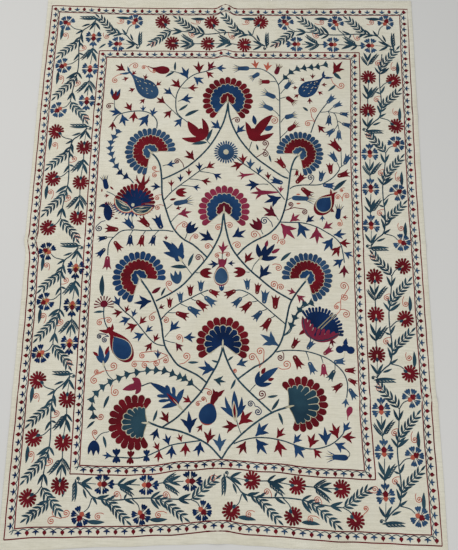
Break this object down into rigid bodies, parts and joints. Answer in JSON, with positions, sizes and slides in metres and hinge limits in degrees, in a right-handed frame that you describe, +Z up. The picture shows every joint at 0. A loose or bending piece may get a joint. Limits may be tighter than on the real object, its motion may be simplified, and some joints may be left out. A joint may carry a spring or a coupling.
{
  "type": "suzani embroidered textile",
  "caption": "Flat embroidered cotton cloth with hemmed sides, a wide flowering border and a field of fan-shaped blossoms, laid out with soft fold creases.",
  "frame": {"origin": "under the middle of the cloth, on the surface it lies on", "axes": "+Y along the length of the cloth, +X across its width, +Z up out of the embroidered face"},
  "size_m": [1.452, 2.0258, 0.0101],
  "materials": {
    "ground_cloth": "slubby hand-woven cream cotton, matt",
    "red_thread": "dark red silk stitches, soft sheen",
    "blue_thread": "mid and dark blue silk stitches, soft sheen",
    "teal_thread": "dark teal silk stitches of stems and leaves, soft sheen",
    "coral_thread": "coral silk stitches of spirals and flower centres, soft sheen"
  },
  "bodies": {
    "root": {"cloth": "ground_cloth"}
  },
  "joints": []
}
